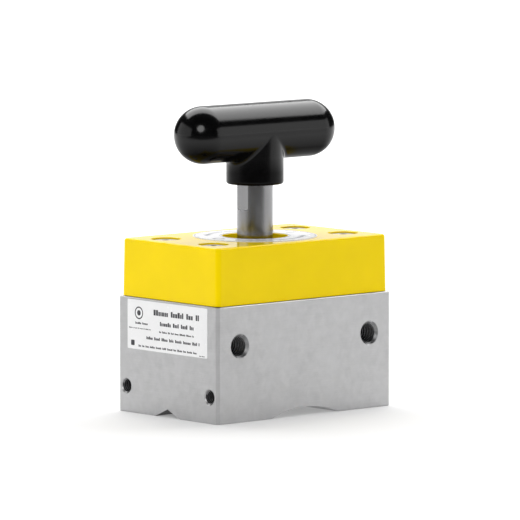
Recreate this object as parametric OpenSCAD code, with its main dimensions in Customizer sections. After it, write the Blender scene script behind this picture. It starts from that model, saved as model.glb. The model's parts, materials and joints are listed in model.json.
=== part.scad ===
// Switchable magnetic work holder: a ground steel block with two ring magnets inside,
// a yellow cover, and a T-handle that is pushed down and turned half a turn.
// Frame: origin at the centre of the block's bottom, +X along the block's length, +Z up.

/* [Block] */
// Length of the block along X
block_l = 63.8; // [60:0.1:70]
// Width of the block along Y
block_w = 41.9; // [40:0.1:46]
// Height of the block
block_h = 32; // [32:0.5:36]
// Chamfer on the block's upright edges
block_chamfer = 0.8; // [0.4:0.1:1.2]
// Width of the V-groove along the bottom
groove_w = 10.5; // [8:0.5:12]
// Depth of the V-groove
groove_d = 2.3; // [1.5:0.1:2.6]
// Length of the arc relief across the bottom
relief_l = 24.7; // [18:0.1:28]
// Depth of the arc relief
relief_d = 2.4; // [1.5:0.1:2.6]
// Thickness of steel between the magnet bore and the bottom
floor_t = 4.6; // [4:0.1:5]

/* [Tapped holes] */
// Distance of the M6 holes from the middle of a long face
side_hole_x = 23.8; // [22:0.1:25]
// Height of the M6 holes
side_hole_z = 21; // [18:0.5:22]
// Depth of the M6 holes
side_hole_depth = 8; // [6:0.5:9]
// Distance of the M4 holes from the middle of a short face
end_hole_y = 17.5; // [16.5:0.1:17.8]
// Height of the M4 holes
end_hole_z = 7.3; // [6:0.1:9]
// Depth of the M4 holes
end_hole_depth = 8; // [6:0.5:9]

/* [Magnets] */
// Diameter of the bore for the magnets
bore_d = 36; // [34:0.5:36]
// Height of each ring magnet
magnet_h = 11.5; // [10:0.5:11.5]
// Hole through each ring magnet
magnet_hole_d = 11; // [11:0.5:13]
// Thickness of the brass shim under the lower magnet
shim_t = 0.4; // [0.2:0.1:0.4]
// Thickness of the brass disc between the magnets
separator_t = 0.5; // [0.3:0.1:0.5]

/* [Cover] */
// Height of the cover, from the gasket to its top
cover_h = 15.9; // [15.7:0.1:18]
// How far the cover stands inside the block's faces
cover_inset = 0.6; // [0.25:0.05:1]
// Draft on each side of the cover
cover_draft = 0.25; // [0:0.05:0.5]
// Radius of the cover's upright corners
cover_corner_r = 1.6; // [1.6:0.1:3]
// Radius of the cover's top edge
cover_edge_r = 0.8; // [0.3:0.1:1]
// Diameter of the hole around the shaft
cover_hole_d = 18; // [17.6:0.1:19]
// Thickness of the gasket
gasket_t = 0.1; // [0.1:0.05:0.3]
// Distance of the cover screws from the middle along X
screw_x = 23.8; // [22.5:0.1:24.5]
// Distance of the cover screws from the middle along Y
screw_y = 10; // [9.5:0.1:12]
// Outer diameter of the dial label
dial_d = 34.5; // [30:0.5:35]
// Width of the sticker on the short face
sticker_w = 33.6; // [20:0.1:34]
// Height of the sticker
sticker_h = 14; // [8:0.5:16]
// Thickness of both labels
label_t = 0.1; // [0.05:0.05:0.2]

/* [Handle] */
// Diameter of the shaft
shaft_d = 10; // [9.8:0.1:10]
// Distance across the wrench flats
flats_af = 9; // [8.5:0.1:9.4]
// Height of the lower end of the wrench flats
flats_z = 55.7; // [54:0.1:58]
// Diameter of the grip's bar and of its neck
grip_d = 16; // [15.5:0.5:18]
// Length of the grip's bar from end to end
grip_l = 54; // [46:1:60]
// Height of the bar's axis above the bottom of the block
grip_z = 77; // [76:0.5:80]
// Height of the neck's lower end
neck_z = 62.5; // [61:0.5:63]
// Travel of the handle when it is pushed down
push_travel = 4; // [2:0.5:4]

/* [Hidden] */
$fn = 96;

cut = 1;               // how far a cutter runs past the face it opens
slip = 0.1;            // axial and radial play of the turning parts in the bore
running_fit = 0.05;    // radial play of the shaft and the hub in their bores

// The stack of discs in the bore, from the bottom up
shim_z = floor_t;
lower_z = shim_z + shim_t;
separator_z = lower_z + magnet_h;
upper_z = separator_z + separator_t + slip;
flange_z = upper_z + magnet_h;
flange_h = 2.5;
cover_z = block_h + gasket_t;
top_z = cover_z + cover_h;
washer_z = flange_z + flange_h + slip;

bore_r = bore_d / 2;
magnet_r = bore_r - slip;
disc_r = bore_r - 0.3;

key_d = 3;
key_h = 8;
key_z = lower_z + 1;

// Hub: flange, journal, and a cup below that holds the spring and centres the magnet
journal_r = 7.5;
journal_top = top_z - 2.8;
cup_r = magnet_hole_d / 2;
cup_h = 6.5;
spring_room_r = 4.1;
spring_floor_z = flange_z - cup_h + 1;
shaft_r = shaft_d / 2;
shaft_bore_z = flange_z + 1;
shaft_end_z = shaft_bore_z + push_travel + 0.8;
seal_r = 6.6;
seal_h = 1.8;

// Lock: cross pin in the shaft, notched ring above it
lock_pin_d = 3;
lock_pin_l = 19.6;
lock_pin_z = shaft_end_z + 4.2;
lock_slot_r = lock_pin_d / 2 + 0.1;
lock_ring_z = lock_pin_z + lock_pin_d / 2 + 0.3;
lock_ring_h = 2.6;
lock_ring_r = 12.3;
lock_ring_bore_r = 7.8;
notch_w = 3.4;
notch_d = 1.6;
lock_screw_x = 10.4;
lock_screw_r = 1;
lock_screw_head_r = 1.6;
lock_screw_l = 4.5;
bush_z = lock_ring_z + lock_ring_h;

// Stop pin in the cover, in a half-turn slot of the hub's flange
stop_pin_d = 2.5;
stop_pin_r = 14.4;
stop_slot_w = 2.9;
stop_slot_depth = 1.9;
stop_angle = 100;      // the stop pin's place, measured from +X
stop_spare = 1;        // how much further the slot runs than the pin, each end, in degrees

drive_pin_d = 3;
drive_pin_y = 10.6;
drive_pin_depth = 3;

// Cover screws, M4 socket caps
m4_r = 2;
m4_clear_r = 2.25;
m4_head_r = 3.5;
m4_head_h = 4;
m4_l = 16;
m4_socket_af = 3;
counterbore_r = 4.1;
counterbore_d = 4.4;
screw_seat_z = top_z - counterbore_d;

dowel_d = 3;
dowel_x = 27;
dowel_depth = 4;

// Tapped holes: the bores are at the drill size, the mouths are countersunk
m6_minor_r = 2.5;
m6_mouth_r = 3.1;
m4_minor_r = 1.65;
m4_mouth_r = 2.1;

// Return spring
spring_wire_r = 0.45;
spring_coil_r = 3.4;
spring_turns = 6;
spring_steps = 24;     // rings of the wire to each turn
spring_sides = 8;
spring_pocket_h = 2.2;
spring_z0 = spring_floor_z;
spring_z1 = shaft_end_z + spring_pocket_h;

// Grip and its insert
grip_r = grip_d / 2;
neck_edge = 0.8;
stud_r = 4;
stud_z = neck_z + 2;
stud_top = grip_z - 1;
insert_r = 6.2;

steel_grey = [0.74, 0.74, 0.75];
pin_grey = [0.62, 0.63, 0.65];
magnet_grey = [0.55, 0.56, 0.58];
cover_yellow = [0.96, 0.82, 0.03];
brass_yellow = [0.80, 0.66, 0.32];
label_white = [0.95, 0.95, 0.95];
black = [0.05, 0.05, 0.06];

// ---- shared shapes ----

module rounded_rect(length, width, r) {
    square([length - 2 * r, width], center = true);
    square([length, width - 2 * r], center = true);
    for (x = [-1, 1], y = [-1, 1])
        translate([x * (length / 2 - r), y * (width / 2 - r)]) circle(r);
}

module chamfered_rect(length, width, chamfer) {
    x = length / 2;
    y = width / 2;
    polygon([[-x + chamfer, -y], [x - chamfer, -y], [x, -y + chamfer], [x, y - chamfer],
             [x - chamfer, y], [-x + chamfer, y], [-x, y - chamfer], [-x, -y + chamfer]]);
}

module tube(outer_r, inner_r, height) {
    difference() {
        cylinder(r = outer_r, h = height);
        translate([0, 0, -cut]) cylinder(r = inner_r, h = height + 2 * cut);
    }
}

// A tapped hole from z = 0 down: countersunk mouth, bore at the drill size, drill point
module tapped_hole(bore_r, mouth_r, depth) {
    sink = mouth_r - bore_r;
    rotate_extrude()
        polygon([[0, cut], [mouth_r, cut], [mouth_r, 0], [bore_r, -sink], [bore_r, -depth],
                 [0, -depth - bore_r * tan(30)]]);
}

module at_cover_screws() {
    for (x = [-screw_x, screw_x], y = [-screw_y, screw_y]) translate([x, y, 0]) children();
}

module at_dowels() {
    for (x = [-dowel_x, dowel_x]) translate([x, 0, 0]) children();
}

module at_lock_screws() {
    for (x = [-lock_screw_x, lock_screw_x]) translate([x, 0, lock_ring_z]) children();
}

module at_drive_pins() {
    for (y = [-drive_pin_y, drive_pin_y]) translate([0, y, 0]) children();
}

module at_stop_pin() {
    rotate(stop_angle) translate([stop_pin_r, 0, 0]) children();
}

// ---- block and what is fixed in it ----

module v_groove() {
    rise = groove_w / 2 / groove_d * cut;
    rotate([90, 0, 90]) linear_extrude(block_l + 2 * cut, center = true)
        polygon([[-groove_w / 2 - rise, -cut], [groove_w / 2 + rise, -cut], [0, groove_d]]);
}

module arc_relief() {
    arc_r = (pow(relief_l / 2, 2) + pow(relief_d, 2)) / (2 * relief_d);
    translate([0, 0, relief_d - arc_r]) rotate([90, 0, 0])
        cylinder(r = arc_r, h = block_w + 2 * cut, center = true, $fn = 180);
}

module housing() {
    color(steel_grey) difference() {
        linear_extrude(block_h) chamfered_rect(block_l, block_w, block_chamfer);
        translate([0, 0, floor_t]) cylinder(r = bore_r, h = block_h);
        v_groove();
        arc_relief();
        translate([bore_r, 0, key_z]) cylinder(d = key_d, h = key_h);
        for (side = [0, 180], x = [-side_hole_x, side_hole_x])
            rotate(side) translate([x, -block_w / 2, side_hole_z]) rotate([90, 0, 0])
                tapped_hole(m6_minor_r, m6_mouth_r, side_hole_depth);
        for (side = [0, 180], y = [-end_hole_y, end_hole_y])
            rotate(side) translate([block_l / 2, y, end_hole_z]) rotate([0, 90, 0])
                tapped_hole(m4_minor_r, m4_mouth_r, end_hole_depth);
        at_cover_screws() translate([0, 0, screw_seat_z - m4_l]) cylinder(r = m4_r, h = m4_l);
        at_dowels() translate([0, 0, block_h - dowel_depth]) cylinder(d = dowel_d, h = 2 * dowel_depth);
    }
}

module magnet_shim() {
    color(brass_yellow) translate([0, 0, shim_z]) tube(disc_r, cup_r, shim_t);
}

// A ring magnet; its poles are its +X and -X halves
module ring_magnet() {
    tube(magnet_r, magnet_hole_d / 2, magnet_h);
}

module lower_magnet() {
    color(magnet_grey) difference() {
        translate([0, 0, lower_z]) ring_magnet();
        translate([bore_r, 0, key_z - cut]) cylinder(d = key_d, h = key_h + cut);
    }
}

module magnet_key() {
    color(pin_grey) translate([bore_r, 0, key_z]) cylinder(d = key_d, h = key_h);
}

module separator_disc() {
    color(brass_yellow) translate([0, 0, separator_z]) tube(disc_r, cup_r, separator_t);
}

// ---- cover and what is fixed in it ----

// One upright corner of the cover: drafted, with the rounded top edge
module cover_corner() {
    top_r = cover_corner_r - cover_draft;
    rotate_extrude($fn = 32)
        polygon(concat([[0, 0], [cover_corner_r, 0]],
                       [for (a = [0:15:90]) [top_r - cover_edge_r * (1 - cos(a)),
                                             cover_h - cover_edge_r * (1 - sin(a))]],
                       [[0, cover_h]]));
}

module cover_shell() {
    x = block_l / 2 - cover_inset - cover_corner_r;
    y = block_w / 2 - cover_inset - cover_corner_r;
    hull()
        for (i = [-1, 1], j = [-1, 1])
            translate([i * x, j * y, cover_z]) cover_corner();
}

module cover() {
    color(cover_yellow) difference() {
        cover_shell();
        translate([0, 0, cover_z]) cylinder(d = cover_hole_d, h = cover_h + cut);
        translate([0, 0, cover_z - cut]) cylinder(r = lock_ring_r, h = bush_z - cover_z + cut);
        at_lock_screws() cylinder(r = lock_screw_r, h = lock_screw_l + 0.3);
        at_stop_pin() translate([0, 0, cover_z - cut]) cylinder(d = stop_pin_d, h = 6 + cut);
        at_dowels() translate([0, 0, cover_z - cut]) cylinder(d = dowel_d, h = dowel_depth + cut);
        at_cover_screws() {
            translate([0, 0, cover_z - cut]) cylinder(r = m4_clear_r, h = cover_h);
            translate([0, 0, screw_seat_z]) cylinder(r = counterbore_r, h = counterbore_d + cut);
        }
    }
}

module cover_gasket() {
    gasket_inset = cover_inset + 0.3;
    color(black) translate([0, 0, block_h]) linear_extrude(gasket_t) difference() {
        rounded_rect(block_l - 2 * gasket_inset, block_w - 2 * gasket_inset, cover_corner_r);
        circle(r = bore_r + 0.3);
        at_cover_screws() circle(r = m4_clear_r);
        at_dowels() circle(d = dowel_d + 0.2);
    }
}

module cover_screws() {
    color(pin_grey) at_cover_screws() difference() {
        union() {
            translate([0, 0, screw_seat_z - m4_l]) cylinder(r = m4_r, h = m4_l + cut);
            translate([0, 0, screw_seat_z]) cylinder(r = m4_head_r, h = m4_head_h);
        }
        translate([0, 0, screw_seat_z + m4_head_h / 2])
            cylinder(d = m4_socket_af / cos(30), h = m4_head_h, $fn = 6);
    }
}

module cover_dowels() {
    color(pin_grey) at_dowels() translate([0, 0, block_h - dowel_depth])
        cylinder(d = dowel_d, h = 2 * dowel_depth + gasket_t);
}

module dial_label() {
    color(label_white) translate([0, 0, top_z]) tube(dial_d / 2, cover_hole_d / 2 + 0.3, label_t);
}

module side_label() {
    color(label_white)
        translate([-block_l / 2 - label_t, -sticker_w / 2, block_h - 0.5 - sticker_h])
            cube([label_t, sticker_w, sticker_h]);
}

module hub_bush() {
    color(brass_yellow) translate([0, 0, bush_z])
        tube(cover_hole_d / 2, journal_r + running_fit, journal_top - bush_z);
}

module lock_ring() {
    color(pin_grey) difference() {
        translate([0, 0, lock_ring_z]) tube(lock_ring_r, lock_ring_bore_r, lock_ring_h);
        translate([-notch_w / 2, -lock_pin_l / 2 - 0.4, lock_ring_z - cut])
            cube([notch_w, lock_pin_l + 0.8, notch_d + cut]);
        at_lock_screws() {
            cylinder(r = lock_screw_r, h = lock_ring_h + cut);
            translate([0, 0, -cut]) cylinder(r = lock_screw_head_r, h = 1 + cut);
        }
    }
}

module lock_ring_screws() {
    color(pin_grey) at_lock_screws() {
        cylinder(r = lock_screw_r, h = lock_screw_l);
        cylinder(r = lock_screw_head_r, h = 1);
    }
}

module thrust_washer() {
    color([0.90, 0.90, 0.86]) difference() {
        translate([0, 0, washer_z]) tube(disc_r, lock_ring_r, cover_z - washer_z);
        at_stop_pin() translate([0, 0, washer_z - cut]) cylinder(d = stop_pin_d, h = 4);
    }
}

module stop_pin() {
    color(pin_grey) at_stop_pin() translate([0, 0, washer_z - slip - 1.5])
        cylinder(d = stop_pin_d, h = cover_z + 6 - (washer_z - slip - 1.5));
}

// ---- rotor ----

module upper_magnet() {
    color(magnet_grey) difference() {
        translate([0, 0, upper_z]) ring_magnet();
        at_drive_pins() translate([0, 0, flange_z - drive_pin_depth])
            cylinder(d = drive_pin_d, h = drive_pin_depth + cut);
    }
}

// The slot that the stop pin runs in, half a turn long
module stop_slot() {
    spare = asin(stop_pin_d / 2 / stop_pin_r) + stop_spare;
    translate([0, 0, flange_z + flange_h - stop_slot_depth])
        rotate(stop_angle - 180 - spare) rotate_extrude(angle = 180 + 2 * spare)
            translate([stop_pin_r - stop_slot_w / 2, 0]) square([stop_slot_w, stop_slot_depth + cut]);
}

module drive_hub() {
    color(pin_grey) difference() {
        union() {
            translate([0, 0, flange_z]) cylinder(r = disc_r, h = flange_h);
            translate([0, 0, flange_z]) cylinder(r = journal_r, h = journal_top - flange_z);
            translate([0, 0, flange_z - cup_h]) cylinder(r = cup_r, h = cup_h + cut);
        }
        translate([0, 0, spring_floor_z]) cylinder(r = spring_room_r, h = cup_h + cut);
        translate([0, 0, shaft_bore_z]) cylinder(r = shaft_r + running_fit, h = journal_top);
        translate([0, 0, journal_top - seal_h]) cylinder(r = seal_r, h = seal_h + cut);
        stop_slot();
        for (z = [lock_pin_z - push_travel - 0.1, lock_pin_z])
            translate([0, 0, z]) rotate([90, 0, 0])
                cylinder(r = lock_slot_r, h = 2 * journal_r + cut, center = true);
        translate([-lock_slot_r, -journal_r - cut, lock_pin_z - push_travel - 0.1])
            cube([2 * lock_slot_r, 2 * (journal_r + cut), push_travel + 0.1]);
        at_drive_pins() translate([0, 0, flange_z - cut]) cylinder(d = drive_pin_d, h = flange_h + 2 * cut);
    }
}

module drive_pins() {
    color(steel_grey) at_drive_pins() translate([0, 0, flange_z - drive_pin_depth])
        cylinder(d = drive_pin_d, h = drive_pin_depth + flange_h);
}

module shaft_seal() {
    color(black) translate([0, 0, journal_top - seal_h]) tube(seal_r, shaft_r + running_fit, seal_h);
}

// A point of the spring's wire: step along the helix, corner around the wire
function spring_point(step, corner) =
    let (turn = step / spring_steps,
         a = 360 * turn,
         b = 360 * corner / spring_sides,
         r = spring_coil_r + spring_wire_r * cos(b),
         rise = (spring_z1 - spring_z0 - 2 * spring_wire_r) * turn / spring_turns)
    [r * cos(a), r * sin(a), spring_z0 + spring_wire_r + rise + spring_wire_r * sin(b)];

module return_spring() {
    steps = spring_turns * spring_steps;
    points = [for (i = [0:steps], j = [0:spring_sides - 1]) spring_point(i, j)];
    walls = [for (i = [0:steps - 1], j = [0:spring_sides - 1])
        let (k = (j + 1) % spring_sides)
        [i * spring_sides + j, (i + 1) * spring_sides + j,
         (i + 1) * spring_sides + k, i * spring_sides + k]];
    first = [for (j = [0:spring_sides - 1]) j];
    last = [for (j = [spring_sides - 1:-1:0]) steps * spring_sides + j];
    color(steel_grey) polyhedron(points, concat(walls, [first, last]));
}

// ---- handle ----

module shaft() {
    color(pin_grey) difference() {
        union() {
            translate([0, 0, shaft_end_z]) cylinder(r = shaft_r, h = stud_z - shaft_end_z);
            translate([0, 0, stud_z - cut]) cylinder(r = stud_r, h = stud_top - stud_z + cut);
        }
        translate([0, 0, shaft_end_z - cut]) cylinder(r = spring_room_r, h = spring_pocket_h + cut);
        translate([0, 0, lock_pin_z]) rotate([90, 0, 0])
            cylinder(d = lock_pin_d, h = shaft_d + cut, center = true);
        for (side = [0, 180])
            rotate(side) translate([flats_af / 2, -shaft_r - cut, flats_z])
                cube([shaft_r, shaft_d + 2 * cut, stud_z + cut - flats_z]);
    }
}

module lock_pin() {
    color(steel_grey) translate([0, 0, lock_pin_z]) rotate([90, 0, 0])
        cylinder(d = lock_pin_d, h = lock_pin_l, center = true);
}

module grip_insert() {
    color(brass_yellow) translate([0, 0, stud_z]) tube(insert_r, stud_r, stud_top - stud_z);
}

module grip_bar() {
    half = grip_l / 2 - grip_r;
    translate([0, 0, grip_z]) rotate([0, 90, 0]) rotate_extrude() intersection() {
        union() {
            translate([0, -half]) square([grip_r, 2 * half]);
            for (end = [-half, half]) translate([0, end]) circle(grip_r);
        }
        translate([0, -grip_l]) square([grip_l, 2 * grip_l]);
    }
}

module grip_neck() {
    rotate_extrude()
        polygon([[0, neck_z], [grip_r - neck_edge, neck_z], [grip_r, neck_z + neck_edge],
                 [grip_r, grip_z], [0, grip_z]]);
}

module grip() {
    color(black) difference() {
        union() {
            grip_bar();
            grip_neck();
        }
        translate([0, 0, neck_z - cut]) cylinder(r = shaft_r + 0.1, h = stud_z - neck_z + cut);
        translate([0, 0, stud_z]) cylinder(r = insert_r, h = stud_top - stud_z);
    }
}

housing();
cover();
cover_gasket();
cover_screws();
cover_dowels();
dial_label();
side_label();
hub_bush();
lock_ring();
lock_ring_screws();
thrust_washer();
stop_pin();
magnet_shim();
lower_magnet();
magnet_key();
separator_disc();
upper_magnet();
drive_hub();
drive_pins();
shaft_seal();
return_spring();
shaft();
lock_pin();
grip_insert();
grip();
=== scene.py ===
import json
from math import acos, cos, hypot, pi, radians, sin, tan

import bmesh
import bpy
import numpy as np
from mathutils import Matrix, Vector


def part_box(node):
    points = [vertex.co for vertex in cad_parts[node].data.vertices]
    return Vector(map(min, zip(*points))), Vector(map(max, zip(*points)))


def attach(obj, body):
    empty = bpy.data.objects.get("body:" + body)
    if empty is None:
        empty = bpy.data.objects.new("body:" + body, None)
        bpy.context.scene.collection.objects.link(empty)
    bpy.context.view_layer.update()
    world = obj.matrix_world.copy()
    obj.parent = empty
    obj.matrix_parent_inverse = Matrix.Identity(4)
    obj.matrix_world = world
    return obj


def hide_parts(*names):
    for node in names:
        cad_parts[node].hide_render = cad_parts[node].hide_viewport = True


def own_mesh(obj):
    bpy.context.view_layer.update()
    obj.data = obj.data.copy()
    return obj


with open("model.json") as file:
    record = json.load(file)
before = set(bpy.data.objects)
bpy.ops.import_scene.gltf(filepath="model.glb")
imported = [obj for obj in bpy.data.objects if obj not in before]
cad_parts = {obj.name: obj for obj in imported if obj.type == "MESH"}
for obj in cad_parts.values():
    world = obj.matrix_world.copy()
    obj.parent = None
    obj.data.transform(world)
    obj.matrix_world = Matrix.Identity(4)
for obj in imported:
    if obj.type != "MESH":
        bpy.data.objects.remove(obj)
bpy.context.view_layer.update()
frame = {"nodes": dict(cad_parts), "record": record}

MM = 0.001

# Camera: a long lens that looks at the block's upright edge, slightly from above
VIEW_AZIMUTH = radians(48.62)
VIEW_PITCH = radians(6.03)
VIEW_DISTANCE = 1664.7 * MM
AIM_RIGHT = 1.4 * MM
AIM_UP = 41.02 * MM
LENS = 415.4
SENSOR = 36

# Studio: what the softboxes face and the ceiling starts from, the paper's half width, and the
# black card in front, (distance, half width) at its near and its far edge
SOFTBOX_AIM = 0.05
CEILING_BASE = 0.07
FLOOR_REACH = 12
FLAG_NEAR = (0.33, 0.85)
FLAG_FAR = (4.5, 6)
FLAG_LIFT = 1 * MM

# World: strength of the pale patch behind and of the rest, and where the patch fades out, as the
# dot product of the direction with the level direction to the camera
PATCH_STRENGTH = 0.95
ROOM_STRENGTH = 0.03
PATCH_FULL = -0.96
PATCH_END = -0.86

# Block. CHAMFER_LOSS is how much the chamfer shrinks per unit that its outline moves inward.
GROOVE_WIDTH = 10.5 * MM
GROOVE_DEPTH = 2.3 * MM
RELIEF_LENGTH = 24.7 * MM
RELIEF_DEPTH = 2.4 * MM
BLOCK_CHAMFER = 0.8 * MM
CHAMFER_LOSS = 0.586
BLOCK_EDGE = 0.25 * MM
BLOCK_BEVEL = 0.2 * MM
CHAMFER_EDGE_R = 0.25 * MM
BLOCK_FLOOR = 4.6 * MM
MAGNET_BORE_R = 18 * MM
SCREW_HOLE_R = 2.0 * MM

# Threads: pitch, outer radius and mouth radius of each size of tapped hole
THREADS = {"m6": (1.0 * MM, 3.0 * MM, 3.3 * MM), "m4": (0.7 * MM, 2.0 * MM, 2.12 * MM)}
THREAD_STEPS = 56
MOUTH_LIP = 0.08 * MM

# A face counts as inside a tapped hole if it is at most HOLE_REACH below the hole's middle, at least
# HOLE_START in from the block's side, and at most HOLE_MARGIN outside the mouth's radius. The inner
# CREST_SHARE of the thread's height is its crest.
HOLE_REACH = 9 * MM
HOLE_START = 0.3 * MM
HOLE_MARGIN = 0.05 * MM
CREST_SHARE = 0.25

# Cover. COVER_CORNER_LOSS is how much the corner's radius shrinks per unit that its outline moves in.
COVER_DRAFT = 0.25 * MM
COVER_CORNER_R = 1.6 * MM
COVER_CORNER_MIN = 0.4 * MM
COVER_CORNER_LOSS = 0.6
COVER_EDGE_R = 0.8 * MM
COVER_FOOT_R = 0.12 * MM
COUNTERBORE_R = 4.1 * MM
COUNTERBORE_DEPTH = 4.4 * MM
SCREW_CLEAR_R = 2.25 * MM
COVER_LIP = 0.3 * MM
LOCK_POCKET_R = 12.3 * MM

# Screws
SCREW_HEAD_R = 3.5 * MM
HEAD_EDGE = 0.35 * MM
SOCKET_AF = 3 * MM
SOCKET_DEPTH = 2 * MM
SCREW_HEAD_H = 4 * MM
KNURLS = 36
KNURL_DEPTH = 0.09 * MM

# Shaft and grip
FLAT_LOW = 55.7 * MM
FLAT_RUNOUT = 1.15
FLATS_AF = 9 * MM
STUD_R = 4 * MM
SHOULDER_RISE = 2 * MM
HOLE_CHAMFER = 0.3 * MM
SPRING_POCKET = 2.2 * MM
SPRING_ROOM_R = 4.1 * MM
NECK_EDGE_R = 0.8 * MM
SADDLE_R = 1.6 * MM
GRIP_VOXEL = 0.36 * MM
INSERT_R = 6.2 * MM
SHAFT_HOLE_R = 5.1 * MM

# Return spring. Its end turns rise a little less than the wire is thick.
SPRING_TURNS = 6
SPRING_STEPS = 32
SPRING_WIRE_R = 0.45 * MM
SPRING_SIDES = 14
SPRING_END_RISE = 2 * SPRING_WIRE_R * 0.918

# Labels, in label millimetres: the print's height and the film's thickness. The strokes that stand
# in for print have their sizes as shares of a row's height, and TALL_LETTERS is how many are tall.
INK_HEIGHT = 0.012
FILM = 0.085
LETTER_WIDTH = 0.62
LETTER_GAP = 0.1125
WORD_GAP = 0.7
TALL_LETTERS = 0.25
LOW_LETTER = 0.72

# Steps round a circle, how far a cutter reaches past what it cuts, and the signs of the corners
ROUND = 96
OVER = 1 * MM
CORNERS = [(-1, -1), (-1, 1), (1, -1), (1, 1)]


# ---- frame ----

def extent(node):
    """The lowest and highest corner of a CAD node."""
    low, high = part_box(node)
    return Vector(low), Vector(high)


def ring_radii(node):
    """The inner and outer radius of a CAD ring about the handle's axis."""
    radii = [hypot(v.co.x, v.co.y) for v in frame["nodes"][node].data.vertices]
    return min(radii), max(radii)


block_low, block_high = extent("housing")
cover_low, cover_high = extent("cover")
screw_low, screw_high = [corner.z for corner in extent("cover_screws")]
screw_x, screw_y = [corner - SCREW_HEAD_R for corner in extent("cover_screws")[1][:2]]
shaft_low, shaft_high = extent("shaft")
grip_low, grip_high = extent("grip")
cover_top = cover_high.z
shaft_r = shaft_high.y
shoulder = grip_low.z + SHOULDER_RISE
grip_r = grip_high.y
bar_z = grip_high.z - grip_r
bar_half = grip_high.x - grip_r


# ---- meshes ----

def add_object(name, data):
    obj = bpy.data.objects.new(name, data)
    bpy.context.scene.collection.objects.link(obj)
    return obj


def new_object(name, bm, *materials):
    """An object from a finished bmesh, with its faces turned outward."""
    bmesh.ops.recalc_face_normals(bm, faces=bm.faces)
    mesh = bpy.data.meshes.new(name)
    bm.to_mesh(mesh)
    bm.free()
    for material in materials:
        mesh.materials.append(material)
    return add_object(name, mesh)


def rounded_outline(corners, steps=4, closed=True):
    """Points of an outline through (x, y, radius) corners, with an arc at each corner with a radius."""
    points = []
    count = len(corners)
    for i, (x, y, radius) in enumerate(corners):
        here = Vector((x, y))
        if radius <= 0 or (not closed and i in (0, count - 1)):
            points.append((x, y))
            continue
        before = (Vector(corners[i - 1][:2]) - here).normalized()
        after = (Vector(corners[(i + 1) % count][:2]) - here).normalized()
        half = acos(max(-1, min(1, before.dot(after)))) / 2
        centre = here + (before + after).normalized() * radius / sin(half)
        start = here + before * radius / tan(half) - centre
        end = here + after * radius / tan(half) - centre
        sweep = pi - 2 * half
        for step in range(steps + 1):
            share = step / steps
            arm = start * sin((1 - share) * sweep) + end * sin(share * sweep)
            points.append(tuple(centre + arm / sin(sweep)))
    return points


def skin(bm, loops):
    """Faces between loops of equal length, one after the other."""
    for one, two in zip(loops, loops[1:]):
        for i in range(len(one)):
            j = (i + 1) % len(one)
            bm.faces.new((one[i], one[j], two[j], two[i]))


def revolve(bm, profile, steps=ROUND, place=None, closed=False, radius_at=None):
    """Turns a profile of (radius, height) points about Z. radius_at may change a radius by angle."""
    place = place or Matrix.Identity(4)
    angles = [2 * pi * i / steps for i in range(steps)]
    rings = []
    for r, z in profile:
        if r < 1e-9:
            rings.append([bm.verts.new(place @ Vector((0, 0, z)))])
            continue
        radii = [radius_at(r, a) if radius_at else r for a in angles]
        rings.append([bm.verts.new(place @ Vector((q * cos(a), q * sin(a), z)))
                      for q, a in zip(radii, angles)])
    pairs = list(zip(rings, rings[1:]))
    if closed:
        pairs.append((rings[-1], rings[0]))
    for one, two in pairs:
        if len(one) == len(two):
            skin(bm, (one, two))
            continue
        for i in range(steps):
            j = (i + 1) % steps
            bm.faces.new((one[0], two[i], two[j]) if len(one) == 1 else (one[i], one[j], two[0]))


def rounded_foot(radius, steps=3):
    """(inset, height) pairs of a quarter round at the foot of a wall."""
    turns = [pi / 2 * step / steps for step in range(steps + 1)]
    return [(radius * (1 - sin(a)), radius * (1 - cos(a))) for a in turns]


def prism(bm, outline, height, place=None):
    """Extrudes a flat outline of (x, y) points from z = 0 to a height."""
    place = place or Matrix.Identity(4)
    low = [bm.verts.new(place @ Vector((x, y, 0))) for x, y in outline]
    high = [bm.verts.new(place @ Vector((x, y, height))) for x, y in outline]
    bm.faces.new(low[::-1])
    bm.faces.new(high)
    skin(bm, (low, high))


def circle(radius, steps=ROUND, turn=0.0):
    """Points round a circle."""
    return [(radius * cos(turn + 2 * pi * i / steps), radius * sin(turn + 2 * pi * i / steps))
            for i in range(steps)]


def rod(bm, radius, steps, low, height, x=0, y=0):
    """An upright cylinder."""
    prism(bm, circle(radius, steps), height, Matrix.Translation((x, y, low)))


def bake(obj):
    """Applies an object's modifiers to its mesh."""
    graph = bpy.context.evaluated_depsgraph_get()
    mesh = bpy.data.meshes.new_from_object(obj.evaluated_get(graph))
    old = obj.data
    obj.modifiers.clear()
    obj.data = mesh
    bpy.data.meshes.remove(old)


def combine(obj, operation, *tools):
    """Cuts the tool objects out of obj, or joins them to it, and deletes them."""
    for tool in tools:
        modifier = obj.modifiers.new("combine", "BOOLEAN")
        modifier.operation = operation
        modifier.solver = "EXACT"
        modifier.object = tool
    bake(obj)
    for tool in tools:
        bpy.data.objects.remove(tool, do_unlink=True)


def cut_away(obj, *tools):
    combine(obj, "DIFFERENCE", *tools)


def round_edges(obj, width, segments, angle):
    """Rounds every edge that is sharper than an angle in degrees."""
    bevel = obj.modifiers.new("round", "BEVEL")
    bevel.width = width
    bevel.segments = segments
    bevel.limit_method = "ANGLE"
    bevel.angle_limit = radians(angle)
    bake(obj)


def shade(obj, angle):
    """Smooth shading with sharp creases, and flat faces kept flat."""
    obj.data.shade_smooth()
    obj.data.set_sharp_from_angle(angle=radians(angle))
    weighted = obj.modifiers.new("normals", "WEIGHTED_NORMAL")
    weighted.keep_sharp = True
    weighted.weight = 75
    bake(obj)


def stand_in(obj, body, node):
    """obj rides on a body and replaces a CAD node, which is hidden."""
    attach(obj, body)
    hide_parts(node)


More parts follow.
